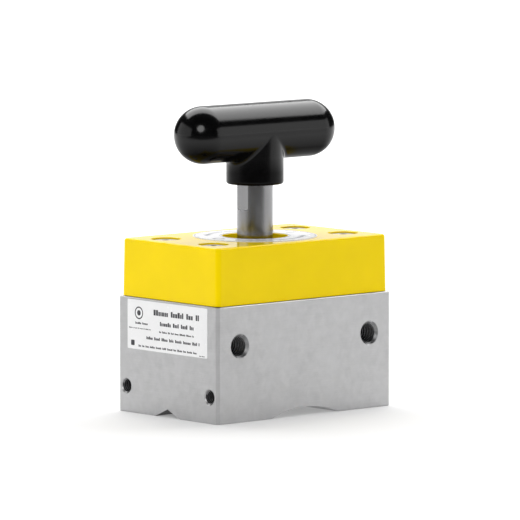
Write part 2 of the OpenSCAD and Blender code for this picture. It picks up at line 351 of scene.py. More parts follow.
def aimed(point, direction):
    """A matrix that puts z = 0 on a point, with +Z along a direction."""
    turn = Vector(direction).to_track_quat("Z", "Y").to_matrix().to_4x4()
    return Matrix.Translation(Vector(point)) @ turn


# ---- materials ----

class Finish:
    """A procedural material. Its textures are measured in millimetres of the row frame."""

    def __init__(self, name, color, roughness, metallic=0.0, **sockets):
        self.material = bpy.data.materials.new(name)
        self.material.use_nodes = True
        self.tree = self.material.node_tree
        self.shader = next(n for n in self.tree.nodes if n.type == "BSDF_PRINCIPLED")
        self.put("Base Color", (*color, 1))
        self.put("Roughness", roughness)
        self.put("Metallic", metallic)
        self.color = color
        for socket, value in sockets.items():
            self.put(socket.replace("_", " ").title().replace("Ior", "IOR"), value)
        self.coords = self.node("ShaderNodeTexCoord").outputs["Object"]

    def put(self, socket, value):
        self.shader.inputs[socket].default_value = value

    def node(self, kind, **settings):
        made = self.tree.nodes.new(kind)
        for key, value in settings.items():
            setattr(made, key, value)
        return made

    def link(self, output, target):
        self.tree.links.new(output, target)

    def stretched(self, stretch):
        """Coordinates in millimetres, divided by a stretch along each axis."""
        mapping = self.node("ShaderNodeMapping")
        mapping.inputs["Scale"].default_value = [1 / MM / s for s in stretch]
        self.link(self.coords, mapping.inputs["Vector"])
        return mapping.outputs["Vector"]

    def noise(self, size, detail=2.0, stretch=(1, 1, 1), warp=0.0):
        """Noise from 0 to 1 whose features are about size millimetres."""
        made = self.node("ShaderNodeTexNoise")
        made.inputs["Scale"].default_value = 1 / size
        made.inputs["Detail"].default_value = detail
        made.inputs["Distortion"].default_value = warp
        self.link(self.stretched(stretch), made.inputs["Vector"])
        return made.outputs[0]

    def spread(self, value, low, high, start=0.3, end=0.7):
        """Maps start..end of a value to low..high."""
        made = self.node("ShaderNodeMapRange")
        limits = {"From Min": start, "From Max": end, "To Min": low, "To Max": high}
        for name, limit in limits.items():
            made.inputs[name].default_value = limit
        self.link(value, made.inputs["Value"])
        return made.outputs["Result"]

    def math(self, operation, *values):
        made = self.node("ShaderNodeMath", operation=operation)
        for value, socket in zip(values, made.inputs):
            self.link(value, socket)
        return made.outputs[0]

    def tint(self, value, dark, light, start=0.3, end=0.7):
        """The base colour runs between two shades of the material's colour."""
        mix = self.mix(self.spread(value, 0, 1, start, end), [c * light for c in self.color])
        mix.inputs[6].default_value = (*[c * dark for c in self.color], 1)
        return mix.outputs[2]

    def recolor(self, factor, source, other):
        """Where factor is 1 the colour becomes other."""
        self.link(source, self.mix(factor, other).inputs[6])

    def mix(self, factor, other):
        """A mix for the base colour that gives other where factor is 1. Its input 6 is still open."""
        made = self.node("ShaderNodeMix", data_type="RGBA")
        self.link(factor, made.inputs["Factor"])
        made.inputs[7].default_value = (*other, 1)
        self.link(made.outputs[2], self.shader.inputs["Base Color"])
        return made

    def gloss(self, value, low, high, start=0.3, end=0.7):
        """The roughness runs between two values."""
        self.link(self.spread(value, low, high, start, end), self.shader.inputs["Roughness"])

    def bump(self, height, depth, strength):
        """Relief of a depth in millimetres."""
        made = self.node("ShaderNodeBump")
        made.inputs["Strength"].default_value = strength
        made.inputs["Distance"].default_value = depth * MM
        self.link(height, made.inputs["Height"])
        self.link(made.outputs["Normal"], self.shader.inputs["Normal"])

    def axis(self, name):
        """One coordinate in millimetres."""
        split = self.node("ShaderNodeSeparateXYZ")
        self.link(self.stretched((1, 1, 1)), split.inputs[0])
        return split.outputs[name]

    def facing(self, name):
        """One part of the surface's direction, from -1 to 1."""
        split = self.node("ShaderNodeSeparateXYZ")
        self.link(self.node("ShaderNodeNewGeometry").outputs["Normal"], split.inputs[0])
        return split.outputs[name]


def groove_painted_shade(f):
    """1 on the two slopes of the V-groove, which are painted near black as shade, and 0 elsewhere."""
    leaning = f.spread(f.math("ABSOLUTE", f.facing("Y")), 0, 1, 0.15, 0.30)
    close = f.spread(f.math("ABSOLUTE", f.axis("Y")), 1, 0, 5.6, 6.2)
    return f.math("MULTIPLY", leaning, close)


def ground_steel():
    f = Finish("block_ground_steel", (0.50, 0.50, 0.505), 0.40, 1.0)
    lines = f.noise(0.16, 2, (60, 60, 1))
    smears = f.noise(7, 3, (1, 1, 2.2), 0.6)
    stains = f.noise(2.2, 4, (1, 1, 1), 0.4)
    shades = f.tint(f.math("MULTIPLY", smears, stains), 0.92, 1.05, 0.12, 0.40)
    # Painted shade: the V-groove's two slopes are coloured near black in place of the shadow inside the
    # groove.
    f.recolor(groove_painted_shade(f), shades, (0.07, 0.07, 0.07))
    f.gloss(f.math("MULTIPLY", smears, lines), 0.36, 0.54, 0.12, 0.40)
    f.bump(f.math("ADD", lines, stains), 0.004, 0.6)
    return f.material


def thread_steel(name, shade, roughness):
    f = Finish(name, (shade, shade, shade * 1.02), roughness, 1.0)
    oil = f.noise(0.9, 3)
    f.tint(oil, 0.8, 1.1)
    f.gloss(oil, roughness - 0.05, roughness + 0.05)
    f.bump(f.noise(0.12, 2), 0.004, 0.5)
    return f.material


def cover_paint():
    f = Finish("cover_yellow_satin", (0.95, 0.69, 0.001), 0.5, 0.0, specular_ior_level=0.0,
               coat_weight=1.0, coat_roughness=0.05, coat_ior=1.2)
    f.tint(f.noise(11, 2), 0.975, 1.02)
    f.gloss(f.noise(0.5, 2), 0.45, 0.55)
    f.bump(f.noise(0.9, 1.5), 0.0015, 0.3)
    return f.material


def grip_plastic():
    f = Finish("grip_black_moulded", (0.0015, 0.0015, 0.0017), 0.12, 0.0, ior=1.39)
    smudge = f.noise(3.0, 4, (1, 1, 1), 0.8)
    f.tint(smudge, 0.8, 1.25)
    f.gloss(smudge, 0.14, 0.18, 0.35, 0.75)
    f.bump(f.noise(1.6, 1), 0.003, 0.25)
    # Painted shade: the reflection is turned down on faces that point downward, and more on the lower
    # part by the neck, so these read dark as if in shade.
    underside_shade_factor = f.spread(f.facing("Z"), 0.05, 0.5, -0.6, -0.15)
    neck_shade_factor = f.spread(f.axis("Z"), 0.3, 1.0, 66, 70)
    f.link(f.math("MULTIPLY", underside_shade_factor, neck_shade_factor), f.shader.inputs["Specular IOR Level"])
    return f.material


def turned_steel(name, color, roughness):
    """Bright steel with the fine rings of a lathe."""
    f = Finish(name, color, roughness, 1.0, anisotropic=0.35)
    rings = f.noise(0.09, 2, (40, 40, 1))
    wear = f.noise(1.8, 3, (1, 1, 6))
    f.tint(wear, 0.93, 1.05)
    f.gloss(f.math("MULTIPLY", rings, wear), roughness - 0.03, roughness + 0.05, 0.12, 0.42)
    f.bump(rings, 0.002, 0.4)
    return f.material


def plain_steel(name, color, roughness, grain=0.3, depth=0.004):
    """Steel with an even, fine grain, for pins, screws and rings."""
    f = Finish(name, color, roughness, 1.0)
    f.tint(f.noise(1.5, 3), 0.82, 1.1)
    f.gloss(f.noise(grain, 2), roughness - 0.06, roughness + 0.08)
    f.bump(f.noise(grain, 3), depth, 0.5)
    return f.material


def rubber(name, color):
    f = Finish(name, color, 0.72, 0.0)
    f.tint(f.noise(0.7, 3), 0.8, 1.3)
    f.gloss(f.noise(0.3, 2), 0.62, 0.82)
    f.bump(f.noise(0.18, 3), 0.01, 0.6)
    return f.material


def label_film():
    f = Finish("label_white_film", (0.86, 0.86, 0.865), 0.24, 0.0)
    f.tint(f.noise(5, 2), 0.975, 1.02)
    f.gloss(f.noise(1.2, 2), 0.20, 0.28)
    f.bump(f.noise(0.6, 2), 0.002, 0.4)
    return f.material


def label_ink(name, color):
    f = Finish(name, color, 0.5, 0.0)
    f.tint(f.noise(0.25, 2), 0.8, 1.3)
    f.gloss(f.noise(0.4, 2), 0.42, 0.58)
    return f.material


def floor_paper():
    f = Finish("floor_paper", (0.62, 0.62, 0.62), 0.85, 0.0, specular_ior_level=0.1,
               emission_color=(1, 1, 1, 1), emission_strength=0.26)
    f.tint(f.noise(60, 2), 0.995, 1.0)
    return f.material


def flag_felt():
    f = Finish("flag_felt", (0.12, 0.12, 0.12), 0.95, 0.0, specular_ior_level=0.0)
    f.tint(f.noise(4, 2), 0.7, 1.2)
    return f.material


STEEL = ground_steel()
# Painted light in the tapped holes: one steel in three shades, the crests painted lighter as highlight,
# the roots and mouths painted darker as shade.
PAINTED_LIGHT_CREST = thread_steel("thread_crest_painted_light_steel", 0.62, 0.36)
PAINTED_SHADE_ROOT = thread_steel("thread_root_painted_shade_steel", 0.09, 0.50)
PAINTED_SHADE_MOUTH = thread_steel("thread_mouth_painted_shade_steel", 0.27, 0.46)
YELLOW = cover_paint()
BLACK = grip_plastic()
SHAFT = turned_steel("shaft_turned_steel", (0.28, 0.28, 0.285), 0.22)
SCREW = plain_steel("screw_steel", (0.42, 0.40, 0.40), 0.34)
PIN = plain_steel("pin_hardened_steel", (0.52, 0.52, 0.54), 0.26)
HUB = turned_steel("hub_turned_steel", (0.42, 0.42, 0.43), 0.34)
NICKEL = plain_steel("magnet_nickel", (0.60, 0.58, 0.55), 0.20, 0.8, 0.003)
BRASS = turned_steel("brass", (0.74, 0.55, 0.24), 0.32)
BRONZE = turned_steel("bush_bronze", (0.52, 0.33, 0.16), 0.42)
RUBBER = rubber("seal_rubber", (0.02, 0.02, 0.021))
GASKET = rubber("gasket_rubber", (0.03, 0.03, 0.032))
WASHER = rubber("washer_white_plastic", (0.75, 0.75, 0.70))
LABEL = label_film()
INK = label_ink("label_ink_dark", (0.03, 0.03, 0.035))
INK_GREY = label_ink("label_ink_grey", (0.20, 0.21, 0.23))
SPRING = plain_steel("spring_steel", (0.48, 0.48, 0.50), 0.24)


# ---- block ----

def chamfered_corners(x, y, chamfer):
    """The eight corners of a chamfered rectangle with half sides x and y."""
    a, b = x - chamfer, y - chamfer
    return [(-a, -y), (a, -y), (x, -b), (x, b), (a, y), (-a, y), (-x, b), (-x, -b)]


def groove_tool():
    """The V-groove along the bottom."""
    half = GROOVE_WIDTH / 2
    rise = half / GROOVE_DEPTH * OVER
    bm = bmesh.new()
    length = block_high.x - block_low.x + 2 * OVER
    place = Matrix.Translation((-length / 2, 0, 0)) @ Matrix.Rotation(pi / 2, 4, "Z") \
        @ Matrix.Rotation(pi / 2, 4, "X")
    prism(bm, [(-half - rise, -OVER), (half + rise, -OVER), (0, GROOVE_DEPTH)], length, place)
    return new_object("groove_tool", bm)


def relief_tool():
    """The shallow arc across the bottom, a slice of a large cylinder."""
    half = RELIEF_LENGTH / 2
    radius = (half ** 2 + RELIEF_DEPTH ** 2) / (2 * RELIEF_DEPTH)
    width = block_high.y - block_low.y + 2 * OVER
    bm = bmesh.new()
    place = Matrix.Translation((0, width / 2, RELIEF_DEPTH - radius)) @ Matrix.Rotation(pi / 2, 4, "X")
    prism(bm, circle(radius, 240), width, place)
    return new_object("relief_tool", bm)


def hole_tools():
    """Bores from the top: the magnets' bore, the key's seat, the screws and the dowels."""
    dowel_low, dowel_high = extent("cover_dowels")
    key_low, key_high = extent("magnet_key")
    dowel_r = (dowel_high.y - dowel_low.y) / 2
    bm = bmesh.new()
    rod(bm, MAGNET_BORE_R, 144, BLOCK_FLOOR, block_high.z)
    bores = new_object("bore_tool", bm)
    bm = bmesh.new()
    rod(bm, (key_high.y - key_low.y) / 2, 32, key_low.z, key_high.z - key_low.z, MAGNET_BORE_R)
    key = new_object("key_tool", bm)
    bm = bmesh.new()
    for sx in (-1, 1):
        for sy in (-1, 1):
            rod(bm, SCREW_HOLE_R, 32, screw_low, block_high.z + OVER - screw_low,
                sx * screw_x, sy * screw_y)
        rod(bm, dowel_r, 32, dowel_low.z, block_high.z + OVER - dowel_low.z,
            sx * (dowel_high.x - dowel_r))
    small = new_object("screw_hole_tool", bm)
    return [bores, key, small]


def thread_tool(bm, place, pitch, minor, major, depth):
    """A closed screw-shaped cutter, from just outside the face (z > 0) down to a depth. Each turn
    has four corners: two on a flat crest and two on a flat root."""
    profile = [(0.0, minor), (0.25, minor), (0.5625, major), (0.6875, major)]
    per_turn = len(profile)
    turns = int(depth / pitch) + 3
    rows = per_turn * turns
    top = 1.5 * pitch
    fade = 1.6 * pitch
    grid = []
    for row in range(rows):
        turn, part = divmod(row, per_turn)
        share, radius = profile[part]
        line = []
        for i in range(THREAD_STEPS):
            angle = 2 * pi * i / THREAD_STEPS
            z = top - pitch * (turn + share + i / THREAD_STEPS)
            runout = min(1, max(0, (z + depth) / fade))
            r = minor + (radius - minor) * runout
            line.append(bm.verts.new(place @ Vector((r * cos(angle), r * sin(angle), z))))
        grid.append(line)

    def vert(row, i):
        return grid[row + (per_turn if i == THREAD_STEPS else 0)][i % THREAD_STEPS]

    last = rows - 1 - per_turn
    for row in range(last):
        for i in range(THREAD_STEPS):
            bm.faces.new((vert(row, i), vert(row, i + 1), vert(row + 1, i + 1), vert(row + 1, i)))
    ends = []
    for start in (0, last):
        loop = [vert(start, i) for i in range(THREAD_STEPS + 1)]
        loop += [grid[start + k][0] for k in range(per_turn - 1, 0, -1)]
        ends.append(loop)
    tip_top = bm.verts.new(place @ Vector((0, 0, top + pitch)))
    bottom = top - pitch * (last / per_turn + 1)
    tip_low = bm.verts.new(place @ Vector((0, 0, bottom - minor * tan(radians(30)))))
    for loop, tip in zip(ends, (tip_top, tip_low)):
        for one, two in zip(loop, loop[1:] + loop[:1]):
            if one is not two:
                bm.faces.new((one, two, tip))


def mouth_profile(minor, mouth):
    """A countersink with a small rounded lip, and a plain stub below it."""
    bottom = minor - mouth - MOUTH_LIP
    tuck, lip_r, cone = 0.02 * MM, 0.1 * MM, 0.2 * minor
    return rounded_outline([(0, OVER, 0), (mouth + MOUTH_LIP, OVER, 0), (mouth + MOUTH_LIP, 0, 0),
                            (mouth - tuck, -MOUTH_LIP, lip_r), (minor, bottom, 0),
                            (0, bottom - cone, 0)], 3, closed=False)


def tapped_holes():
    """Each tapped hole's pitch, radii (minor, major, mouth), middle and outward direction."""
    return [(pitch, (mount["dims"]["r_mm"] * MM, major, mouth), Vector(mount["pos_m"]),
             Vector(mount["axis"]))
            for prefix, (pitch, major, mouth) in THREADS.items()
            for mount in frame["record"]["mounts"] if mount["name"].startswith(prefix)]


def on_side(point, outward):
    """A point moved along an axis onto the block's side."""
    sides = [high if n > 0 else low for high, low, n in zip(block_high, block_low, outward)]
    return Vector([side if abs(n) > 0.5 else p for side, p, n in zip(sides, point, outward)])


def tapped_hole_tools():
    """All threads as one cutter, and all their mouths as another."""
    threads, mouths = bmesh.new(), bmesh.new()
    for pitch, (minor, major, mouth), middle, outward in tapped_holes():
        face = on_side(middle, outward)
        place = aimed(face, outward)
        thread_tool(threads, place, pitch, minor, major, 2 * (face - middle).length)
        revolve(mouths, mouth_profile(minor, mouth), 64, place)
    return new_object("thread_tool", threads), new_object("mouth_tool", mouths)


def hole_zone(point, holes):
    """0 outside the tapped holes, 1 on a thread's crest, 2 on its flanks and root, 3 on a mouth."""
    for _, (minor, major, mouth), middle, outward in holes:
        arm = point - middle
        along = arm.dot(outward)
        radius = (arm - outward * along).length
        depth = (on_side(point, outward) - point).length
        if radius > mouth + HOLE_MARGIN or along < -HOLE_REACH or depth < HOLE_START:
            continue
        if depth < mouth - minor + MOUTH_LIP:
            return 3
        return 2 if radius > minor + CREST_SHARE * (major - minor) else 1
    return 0


def block_levels():
    """(inset, height) pairs of the block's wall: a rounded foot, and a bevel round the top."""
    soft = 0.05 * MM
    top = block_high.z
    bevel = [(0, top - BLOCK_BEVEL - soft), (0.4 * soft, top - BLOCK_BEVEL + 0.4 * soft),
             (BLOCK_BEVEL - 0.4 * soft, top - 0.4 * soft), (BLOCK_BEVEL + soft, top)]
    return rounded_foot(BLOCK_EDGE) + bevel


def block_blank():
    """The block before it is drilled: upright chamfers with soft edges."""
    bm = bmesh.new()
    loops = []
    for inset, height in block_levels():
        corners = chamfered_corners(block_high.x - inset, block_high.y - inset,
                                    BLOCK_CHAMFER - inset * CHAMFER_LOSS)
        outline = rounded_outline([(x, y, CHAMFER_EDGE_R) for x, y in corners], 3)
        loops.append([bm.verts.new((x, y, height)) for x, y in outline])
    skin(bm, loops)
    bm.faces.new(loops[0][::-1])
    bm.faces.new(loops[-1])
    return new_object("block_body", bm, STEEL, PAINTED_LIGHT_CREST, PAINTED_SHADE_ROOT, PAINTED_SHADE_MOUTH)


def make_block():
    block = block_blank()
    cut_away(block, groove_tool(), relief_tool(), *hole_tools())
    threads, mouths = tapped_hole_tools()
    cut_away(block, mouths)
    cut_away(block, threads)
    holes = tapped_holes()
    # Painted light and shade: faces in the tapped holes get the light crest steel or the dark root and
    # mouth steels by where they lie.
    for face in block.data.polygons:
        face.material_index = hole_zone(face.center, holes)
    shade(block, 34)
    stand_in(block, "base", "housing")


# ---- cover ----

def rounded_rect(half_x, half_y, radius, steps=10):
    """Points round a rectangle with round corners."""
    points = []
    for index, (sx, sy) in enumerate([(1, 1), (-1, 1), (-1, -1), (1, -1)]):
        for step in range(steps + 1):
            angle = pi / 2 * (index + step / steps)
            points.append((sx * (half_x - radius) + radius * cos(angle),
                           sy * (half_y - radius) + radius * sin(angle)))
    return points


def cover_levels():
    """(inset, height) pairs of the cover's wall, with a rounded foot and a rounded top edge."""
    height = cover_high.z - cover_low.z
    levels = rounded_foot(COVER_FOOT_R)
    steps = 8
    for step in range(steps + 1):
        a = pi / 2 * step / steps
        levels.append((COVER_DRAFT + COVER_EDGE_R * (1 - cos(a)),
                       height - COVER_EDGE_R * (1 - sin(a))))
    return levels


def bore_tool(bm, radius, low, x=0, y=0):
    """A round cutter down from the cover's top, with a rounded lip."""
    start, end, steps, clearance = radians(8), radians(80), 4, 0.02 * MM
    arc = [(radius + COVER_LIP * (1 - cos(a)), -COVER_LIP * (1 - sin(a)))
           for a in [start + (end - start) * i / steps for i in range(steps + 1)]]
    top_r = arc[-1][0] + clearance
    profile = [(0, low), (radius, low), (radius, -COVER_LIP)] + arc + [(top_r, OVER), (0, OVER)]
    revolve(bm, profile, 72, Matrix.Translation((x, y, cover_top)))


def make_cover():
    bm = bmesh.new()
    loops = []
    for inset, height in cover_levels():
        outline = rounded_rect(cover_high.x - inset, cover_high.y - inset,
                               max(COVER_CORNER_R - inset * COVER_CORNER_LOSS, COVER_CORNER_MIN))
        loops.append([bm.verts.new((x, y, cover_low.z + height)) for x, y in outline])
    skin(bm, loops)
    bm.faces.new(loops[0][::-1])
    bm.faces.new(loops[-1])
    cover = new_object("cover_shell", bm, YELLOW)

    tools = bmesh.new()
    through = bmesh.new()
    for sx, sy in CORNERS:
        x, y = sx * screw_x, sy * screw_y
        bore_tool(tools, COUNTERBORE_R, -COUNTERBORE_DEPTH, x, y)
        rod(through, SCREW_CLEAR_R, 40, cover_low.z - OVER, cover_top - cover_low.z, x, y)
    bore_tool(tools, extent("hub_bush")[1].x, cover_low.z - cover_top - OVER)
    pocket_top = extent("lock_ring")[1].z
    rod(through, LOCK_POCKET_R, ROUND, cover_low.z - OVER, pocket_top - cover_low.z + OVER)
    cut_away(cover, new_object("counterbore_tool", tools))
    cut_away(cover, new_object("through_tool", through))
    shade(cover, 32)
    stand_in(cover, "base", "cover")


# ---- screws ----

def make_screws():
    seat = screw_high - SCREW_HEAD_H
    tip, foot = 0.3 * MM, 0.15 * MM
    profile = rounded_outline([
        (0, screw_low, 0), (SCREW_HOLE_R - tip, screw_low, 0),
        (SCREW_HOLE_R, screw_low + tip, 0), (SCREW_HOLE_R, seat, 0),
        (SCREW_HEAD_R - foot, seat, 0), (SCREW_HEAD_R, seat + foot, 0),
        (SCREW_HEAD_R, screw_high - HEAD_EDGE - 0.1 * MM, 0), (SCREW_HEAD_R, screw_high, HEAD_EDGE),
        (0, screw_high, 0)], 4, closed=False)

    def knurled(radius, angle):
        if radius < SCREW_HEAD_R - 1e-7:
            return radius
        return radius - KNURL_DEPTH * (1 - abs(cos(angle * KNURLS / 2)))

    bm = bmesh.new()
    sockets = bmesh.new()
    sink_low, sink_low_r, sink_high, sink_high_r = -0.25 * MM, 1.5 * MM, 0.3 * MM, 2.05 * MM
    sink = [(0, sink_low), (sink_low_r, sink_low), (sink_high_r, sink_high), (0, sink_high)]
    for sx, sy in CORNERS:
        place = Matrix.Translation((sx * screw_x, sy * screw_y, 0))
        revolve(bm, profile, KNURLS * 4, place, radius_at=knurled)
        turn = radians(17 * (sx + 2 * sy))
        deep = place @ Matrix.Translation((0, 0, screw_high - SOCKET_DEPTH))
        prism(sockets, circle(SOCKET_AF / 2 / cos(pi / 6), 6, turn), SOCKET_DEPTH + OVER, deep)
        revolve(sockets, sink, 36, place @ Matrix.Translation((0, 0, screw_high)))
    screws = new_object("cover_cap_screws", bm, SCREW)
    cut_away(screws, new_object("socket_tool", sockets))
    shade(screws, 28)
    stand_in(screws, "base", "cover_screws")


# ---- shaft and what is round it ----

def make_shaft():
    chamfer = 0.3 * MM
    profile = [
        (0, shaft_low.z + SPRING_POCKET), (SPRING_ROOM_R, shaft_low.z + SPRING_POCKET),
        (SPRING_ROOM_R, shaft_low.z), (shaft_r - chamfer, shaft_low.z),
        (shaft_r, shaft_low.z + chamfer), (shaft_r, shoulder - chamfer),
        (shaft_r - chamfer, shoulder), (STUD_R, shoulder), (STUD_R, shaft_high.z - chamfer),
        (STUD_R - chamfer, shaft_high.z), (0, shaft_high.z)]
    bm = bmesh.new()
    revolve(bm, profile, 128)
    shaft = new_object("handle_shaft", bm, SHAFT)
    flats = bmesh.new()
    near = FLATS_AF / 2
    far = 2 * shaft_r
    outline = [(near, FLAT_LOW), (far, FLAT_LOW - FLAT_RUNOUT * (far - near)),
               (far, shoulder + OVER), (near, shoulder + OVER)]
    for turn in (0, pi):
        place = Matrix.Rotation(turn, 4, "Z") @ Matrix.Translation((0, far, 0)) \
            @ Matrix.Rotation(pi / 2, 4, "X")
        prism(flats, outline, 2 * far, place)
    cut_away(shaft, new_object("flat_tool", flats))
    round_edges(shaft, 0.08 * MM, 2, 20)
    shade(shaft, 30)
    stand_in(shaft, "handle", "shaft")


def make_bush():
    low, high = extent("hub_bush")
    inner, outer = ring_radii("hub_bush")
    edge = 0.2 * MM
    bm = bmesh.new()
    outline = rounded_outline([(inner, low.z, edge), (outer, low.z, edge),
                               (outer, high.z, edge), (inner, high.z, edge)])
    revolve(bm, outline, 120, closed=True)
    bush = new_object("hub_bush_ring", bm, BRONZE)
    shade(bush, 34)
    stand_in(bush, "base", "hub_bush")


def make_seal():
    """A wiper seal: a flat ring with a raised lip against the shaft."""
    low, high = extent("shaft_seal")
    inner, outer = ring_radii("shaft_seal")
    lip_w = 0.55 * MM
    dip = 0.45 * MM
    bm = bmesh.new()
    outline = rounded_outline([
        (inner, low.z, 0.1 * MM), (outer, low.z, 0.1 * MM), (outer, high.z, 0.15 * MM),
        (outer - lip_w * 0.7, high.z, 0.12 * MM), (outer - lip_w, high.z - dip, 0.12 * MM),
        (inner + lip_w, high.z - dip, 0.15 * MM), (inner + 0.12 * MM, high.z, 0.05 * MM),
        (inner, high.z, 0.03 * MM)], 3)
    revolve(bm, outline, 120, closed=True)
    seal = new_object("shaft_wiper_seal", bm, RUBBER)
    shade(seal, 34)
    stand_in(seal, "rotor", "shaft_seal")


def make_spring():
    """A compression spring: its first and last turn lie flat."""
    low, high = extent("return_spring")
    coil_r = high.x - SPRING_WIRE_R
    rise = high.z - low.z - 2 * SPRING_WIRE_R
    bm = bmesh.new()
    rings = []
    for i in range(SPRING_TURNS * SPRING_STEPS + 1):
        turn = i / SPRING_STEPS
        if turn < 1:
            z = SPRING_END_RISE * turn
        elif turn > SPRING_TURNS - 1:
            z = rise - SPRING_END_RISE * (SPRING_TURNS - turn)
        else:
            z = SPRING_END_RISE + (rise - 2 * SPRING_END_RISE) * (turn - 1) / (SPRING_TURNS - 2)
        a = 2 * pi * turn
        centre = Vector((coil_r * cos(a), coil_r * sin(a), low.z + SPRING_WIRE_R + z))
        outward = Vector((cos(a), sin(a), 0))
        rings.append([bm.verts.new(centre + SPRING_WIRE_R * (outward * cos(b) + Vector((0, 0, sin(b)))))
                      for b in [2 * pi * j / SPRING_SIDES for j in range(SPRING_SIDES)]])
    skin(bm, rings)
    bm.faces.new(rings[0])
    bm.faces.new(rings[-1][::-1])
    spring = new_object("return_coil_spring", bm, SPRING)
    shade(spring, 40)
    stand_in(spring, "rotor", "return_spring")
    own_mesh(spring)


# ---- grip ----

def grip_distance(p):
    """Distance from points (N x 3) to the grip's outside: a bar with round ends on a round neck,
    joined by a small saddle fillet."""
    across = p[:, 0] - np.clip(p[:, 0], -bar_half, bar_half)
    arm_bar = np.stack([across, p[:, 1], p[:, 2] - bar_z], 1)
    reach = np.linalg.norm(arm_bar, axis=1)
    bar = reach - grip_r
    radial = np.hypot(p[:, 0], p[:, 1])
    over = radial - (grip_r - NECK_EDGE_R)
    under = (grip_low.z + NECK_EDGE_R) - p[:, 2]
    outside = np.hypot(np.maximum(over, 0), np.maximum(under, 0))
    neck = outside + np.minimum(np.maximum(over, under), 0) - NECK_EDGE_R
    neck = np.maximum(neck, p[:, 2] - bar_z)
    lean = (arm_bar[:, 0] * p[:, 0] + arm_bar[:, 1] * p[:, 1]) / np.maximum(reach * radial, 1e-9)
    fillet = SADDLE_R * np.clip(1 - lean, 0.02, 1)
    near = np.maximum(fillet - np.abs(bar - neck), 0) / fillet
    return np.minimum(bar, neck) - near * near * fillet / 4


def grip_gradient(p):
    step = 0.01 * MM
    parts = []
    for axis in range(3):
        shift = np.zeros(3)
        shift[axis] = step
        parts.append((grip_distance(p + shift) - grip_distance(p - shift)) / (2 * step))
    return np.stack(parts, 1)


def settle_on_grip(points):
    """Moves points onto the grip's exact surface."""
    for _ in range(8):
        slope = grip_gradient(points)
        size = np.maximum((slope * slope).sum(1), 0.25)
        points = points - slope * (grip_distance(points) / size)[:, None]
    return points


def grip_blank():
    """A rough grip: the bar and the neck as one closed mesh."""
    bm = bmesh.new()
    turns = [pi / 2 * i / 16 for i in range(17)]
    profile = [(grip_r * sin(a), -bar_half - grip_r * cos(a)) for a in turns]
    profile += [(r, -z) for r, z in profile[::-1]]
    place = Matrix.Translation((0, 0, bar_z)) @ Matrix.Rotation(pi / 2, 4, "Y")
    revolve(bm, profile, 96, place)
    bar = new_object("grip_body", bm, BLACK)
    bm = bmesh.new()
    rod(bm, grip_r * 0.999, ROUND, grip_low.z, bar_z - grip_low.z)
    neck = new_object("neck_blank", bm)
    combine(bar, "UNION", neck)
    remesh = bar.modifiers.new("grid", "REMESH")
    remesh.mode = "VOXEL"
    remesh.voxel_size = GRIP_VOXEL
    bake(bar)
    return bar


def mesh_points(mesh):
    """A mesh's vertices as an array of N x 3."""
    points = np.empty(len(mesh.vertices) * 3)
    mesh.vertices.foreach_get("co", points)
    return points.reshape(-1, 3)


def make_grip():
    grip = grip_blank()
    points = settle_on_grip(mesh_points(grip.data))
    grip.data.vertices.foreach_set("co", points.ravel())
    grip.data.update()
    insert_top = extent("grip_insert")[1].z
    mouth_r = SHAFT_HOLE_R + HOLE_CHAMFER
    bm = bmesh.new()
    revolve(bm, [(0, grip_low.z - OVER), (mouth_r, grip_low.z - OVER), (mouth_r, grip_low.z),
                 (SHAFT_HOLE_R, grip_low.z + HOLE_CHAMFER), (SHAFT_HOLE_R, shoulder),
                 (INSERT_R, shoulder), (INSERT_R, insert_top), (0, insert_top)])
    cut_away(grip, new_object("grip_bore_tool", bm))
    if not grip.data.materials:
        grip.data.materials.append(BLACK)
    exact_grip_normals(grip)
    stand_in(grip, "handle", "grip")


def exact_grip_normals(grip):
    """Smooth normals from the surface's own slope outside, flat ones in the bore."""
    mesh = grip.data
    mesh.shade_smooth()
    points = mesh_points(mesh)
    slope = grip_gradient(points)
    slope /= np.maximum(np.linalg.norm(slope, axis=1), 1e-9)[:, None]
    tolerance = 0.02 * MM
    outside = np.abs(grip_distance(points)) < tolerance
    normals = []
    for face in mesh.polygons:
        flat = np.array(face.normal)
        for v in face.vertices:
            exact = outside[v] and float(slope[v] @ flat) > 0.5
            normals.append(tuple(slope[v]) if exact else tuple(flat))
    mesh.normals_split_custom_set(normals)


# ---- labels ----

def label_frame(origin, right, up):
    """A matrix from label millimetres (right, up, outward) to the row frame."""
    right, up = Vector(right), Vector(up)
    out = right.cross(up)
    turn = Matrix((right, up, out)).transposed().to_4x4()
    return Matrix.Translation(origin) @ turn @ Matrix.Scale(MM, 4)


def bar_outline(x, y, width, height, radius=0.0):
    """A small bar, given by its left end and its middle height, with rounded corners."""
    radius = min(radius, width / 2.01, height / 2.01)
    corners = [(x, y - height / 2, radius), (x + width, y - height / 2, radius),
               (x + width, y + height / 2, radius), (x, y + height / 2, radius)]
    return rounded_outline(corners, 3)


def arc_band(radius, width, start, end, steps=24):
    """A band along a circle between two angles in degrees."""
    angles = [radians(start + (end - start) * i / steps) for i in range(steps + 1)]
    outer = [((radius + width / 2) * cos(a), (radius + width / 2) * sin(a)) for a in angles]
    inner = [((radius - width / 2) * cos(a), (radius - width / 2) * sin(a)) for a in angles]
    return outer + inner[::-1]


def ring_band(bm, centre, outer, inner, height, place):
    """A flat ring, printed."""
    revolve(bm, [(inner, 0), (outer, 0), (outer, height), (inner, height)], 40,
            place @ Matrix.Translation((*centre, 0)), closed=True)


